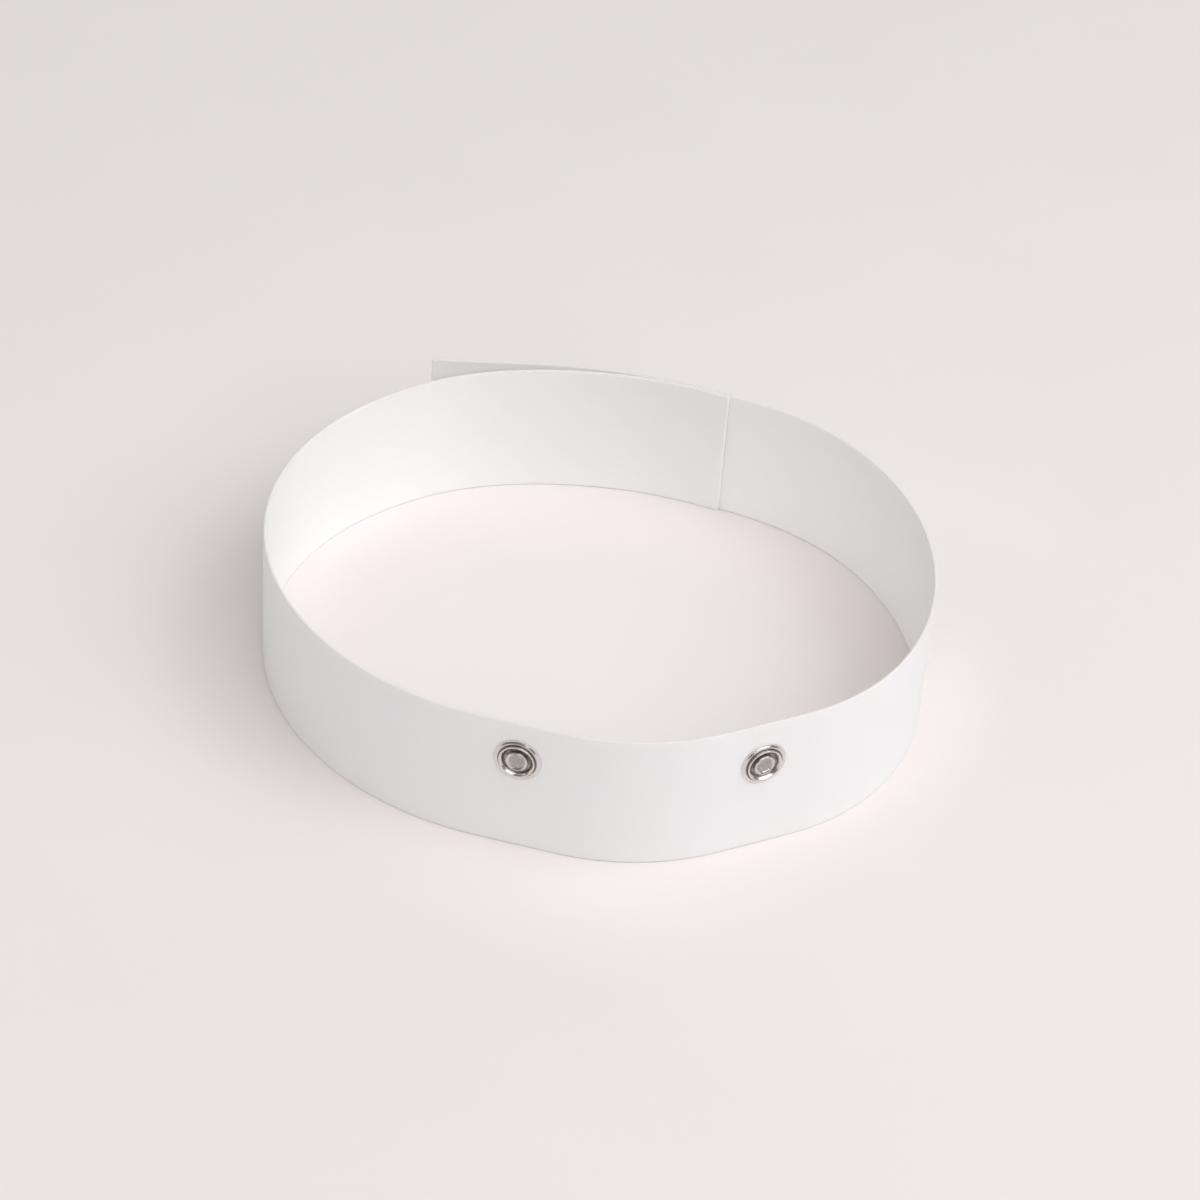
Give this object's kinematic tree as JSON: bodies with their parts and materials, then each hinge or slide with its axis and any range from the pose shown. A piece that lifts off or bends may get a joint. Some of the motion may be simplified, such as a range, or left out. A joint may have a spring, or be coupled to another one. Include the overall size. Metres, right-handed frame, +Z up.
{
  "type": "clerical collar",
  "caption": "White plastic clerical collar strip, curled into a lapped oval loop that stands on its edge, with press snaps on the front.",
  "frame": {"origin": "on the surface that the collar stands on, under the middle of its outline", "axes": "+Z up, out of the neck opening; -Y to the front with the snaps; +X to the right as seen from the front"},
  "size_m": [0.1348, 0.1234, 0.03],
  "materials": {
    "collar_plastic": "satin white polypropylene sheet, slightly see-through against the light",
    "snap_metal": "bright nickel plate on brass"
  },
  "bodies": {
    "root": {"collar_band": "collar_plastic", "snap_socket_left": "snap_metal", "snap_rivet_left": "snap_metal", "snap_socket_right": "snap_metal", "snap_rivet_right": "snap_metal"}
  },
  "joints": []
}
